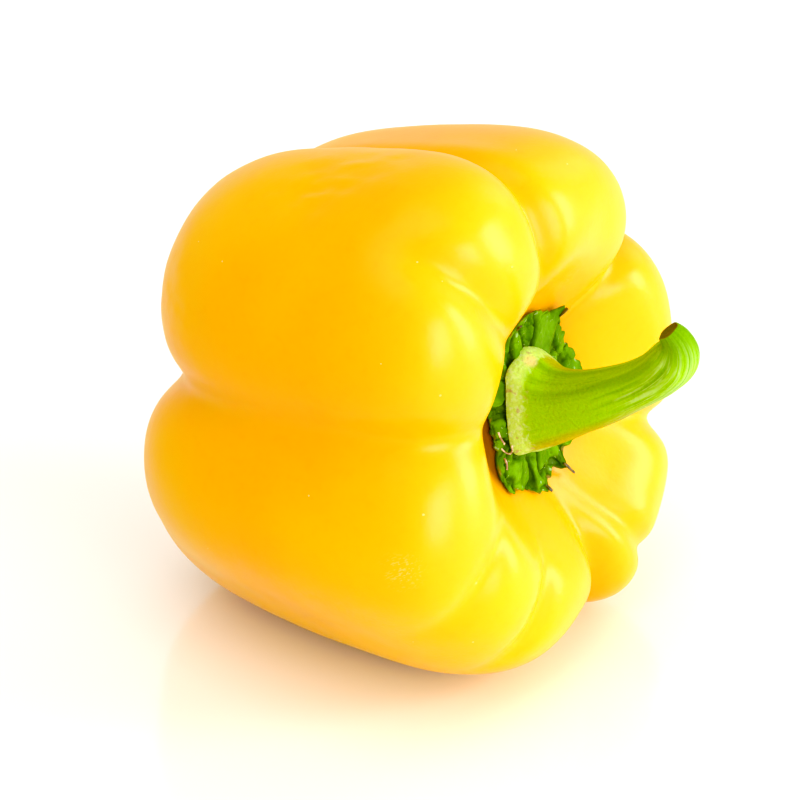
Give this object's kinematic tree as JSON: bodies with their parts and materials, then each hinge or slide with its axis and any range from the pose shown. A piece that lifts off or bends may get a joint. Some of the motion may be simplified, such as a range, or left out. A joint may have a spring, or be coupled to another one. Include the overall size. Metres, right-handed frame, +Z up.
{
  "type": "bell pepper",
  "caption": "Yellow blocky bell pepper lying on its side: lobed glossy fruit, ragged green calyx in the stem hollow and a short hooked stem.",
  "frame": {"origin": "middle of the bounding box at the height of the resting spots", "axes": "+Z up, +X level along the fruit towards its stem, which points 8 degrees upwards; the front side faces -Y"},
  "size_m": [0.0956, 0.0878, 0.0928],
  "materials": {
    "skin": "glossy waxy skin",
    "calyx": "wrinkled, slightly glossy",
    "stem": "satin, striped lengthwise"
  },
  "bodies": {
    "root": {"fruit": "skin", "calyx": "calyx", "stem": "stem"}
  },
  "joints": []
}
